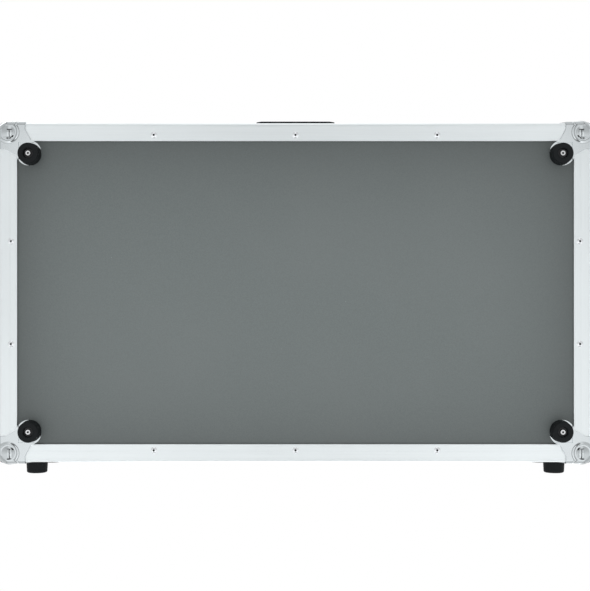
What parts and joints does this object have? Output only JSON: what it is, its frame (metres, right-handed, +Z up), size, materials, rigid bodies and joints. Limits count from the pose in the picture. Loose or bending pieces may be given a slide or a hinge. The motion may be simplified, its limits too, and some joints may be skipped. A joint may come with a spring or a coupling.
{
  "type": "guitar pedal case",
  "caption": "Flat hard case of laminated panels in riveted aluminium edges, with ball corners, rubber feet, hinged lid, turn latches and a folding handle.",
  "frame": {"origin": "on the floor under the middle of the closed case's whole box, feet and folded handle counted", "axes": "+X to the right along the width, +Y to the hinge side, -Y the handle and latch side, +Z up from the base feet to the lid"},
  "size_m": [0.7284, 0.4362, 0.2017],
  "materials": {
    "grey_laminate": "satin grey laminate on plywood",
    "aluminium_profile": "natural anodised, satin",
    "bright_zinc": "bright zinc plate",
    "zinc_plate": "zinc plated pressed steel",
    "rivet_steel": "bright blind rivets",
    "screw_steel": "zinc plated",
    "black_steel": "black oxide",
    "black_rubber": "matt black rubber",
    "bare_plywood": "bare birch plywood",
    "loop_carpet": "black needle felt",
    "foam": "dark grey open-cell foam"
  },
  "bodies": {
    "base": {"base_panel": "grey_laminate", "base_front_wall": "grey_laminate", "base_back_wall": "grey_laminate", "base_left_wall": "grey_laminate", "base_right_wall": "grey_laminate", "base_long_edges": "aluminium_profile", "base_short_edges": "aluminium_profile", "base_corner_posts": "aluminium_profile", "base_tongue_rim": "aluminium_profile", "base_ball_corners": "bright_zinc", "base_corner_rivets": "rivet_steel", "base_edge_rivets": "rivet_steel", "base_feet": "black_rubber", "base_back_feet": "black_rubber", "base_foot_washers": "black_steel", "base_foot_screws": "screw_steel", "handle_plate": "zinc_plate", "handle_rivets": "rivet_steel", "latch_dishes": "zinc_plate", "latch_rivets": "rivet_steel", "hinge_base_leaves": "zinc_plate", "hinge_base_rivets": "rivet_steel", "hinge_pins": "zinc_plate", "board_battens": "bare_plywood", "pedal_board": "bare_plywood", "board_carpet": "loop_carpet"},
    "lid": {"lid_panel": "grey_laminate", "lid_front_wall": "grey_laminate", "lid_back_wall": "grey_laminate", "lid_left_wall": "grey_laminate", "lid_right_wall": "grey_laminate", "lid_long_edges": "aluminium_profile", "lid_short_edges": "aluminium_profile", "lid_corner_posts": "aluminium_profile", "lid_groove_rim": "aluminium_profile", "lid_ball_corners": "bright_zinc", "lid_corner_rivets": "rivet_steel", "lid_edge_rivets": "rivet_steel", "lid_back_feet": "black_rubber", "lid_foot_washers": "black_steel", "lid_foot_screws": "screw_steel", "keeper_dishes": "zinc_plate", "keeper_rivets": "rivet_steel", "hinge_lid_leaves": "zinc_plate", "hinge_lid_rivets": "rivet_steel", "lid_foam": "foam"},
    "handle": {"handle_bail": "zinc_plate", "handle_grip": "black_rubber"},
    "left_latch_turn": {"left_spindle": "zinc_plate", "left_cam": "zinc_plate", "left_wing_pins": "zinc_plate"},
    "left_wing_a": {"left_wing_a": "zinc_plate"},
    "left_wing_b": {"left_wing_b": "zinc_plate"},
    "right_latch_turn": {"right_spindle": "zinc_plate", "right_cam": "zinc_plate", "right_wing_pins": "zinc_plate"},
    "right_wing_a": {"right_wing_a": "zinc_plate"},
    "right_wing_b": {"right_wing_b": "zinc_plate"}
  },
  "joints": [
    {"name": "lid_hinge", "type": "hinge", "parent": "base", "child": "lid", "pos_m": [0, 0.20535, 0.1172], "axis": [-1, 0, 0], "range_deg": [0, 105]},
    {"name": "handle_swing", "type": "hinge", "parent": "base", "child": "handle", "pos_m": [0, -0.21325, 0.087], "axis": [-1, 0, 0], "range_deg": [0, 100]},
    {"name": "left_latch_turn", "type": "hinge", "parent": "base", "child": "left_latch_turn", "pos_m": [-0.215, -0.20625, 0.105], "axis": [0, 1, 0], "range_deg": [0, 180]},
    {"name": "left_wing_a_fold", "type": "hinge", "parent": "left_latch_turn", "child": "left_wing_a", "pos_m": [-0.212, -0.20625, 0.105], "axis": [0, 0, -1], "range_deg": [0, 90]},
    {"name": "left_wing_b_fold", "type": "hinge", "parent": "left_latch_turn", "child": "left_wing_b", "pos_m": [-0.218, -0.20625, 0.105], "axis": [0, 0, 1], "range_deg": [0, 90]},
    {"name": "right_latch_turn", "type": "hinge", "parent": "base", "child": "right_latch_turn", "pos_m": [0.215, -0.20625, 0.105], "axis": [0, 1, 0], "range_deg": [0, 180]},
    {"name": "right_wing_a_fold", "type": "hinge", "parent": "right_latch_turn", "child": "right_wing_a", "pos_m": [0.218, -0.20625, 0.105], "axis": [0, 0, -1], "range_deg": [0, 90]},
    {"name": "right_wing_b_fold", "type": "hinge", "parent": "right_latch_turn", "child": "right_wing_b", "pos_m": [0.212, -0.20625, 0.105], "axis": [0, 0, 1], "range_deg": [0, 90]}
  ],
  "couplings": [
    {"joint": "left_wing_b_fold", "follows": "left_wing_a_fold", "ratio": 1},
    {"joint": "right_wing_b_fold", "follows": "right_wing_a_fold", "ratio": 1}
  ]
}
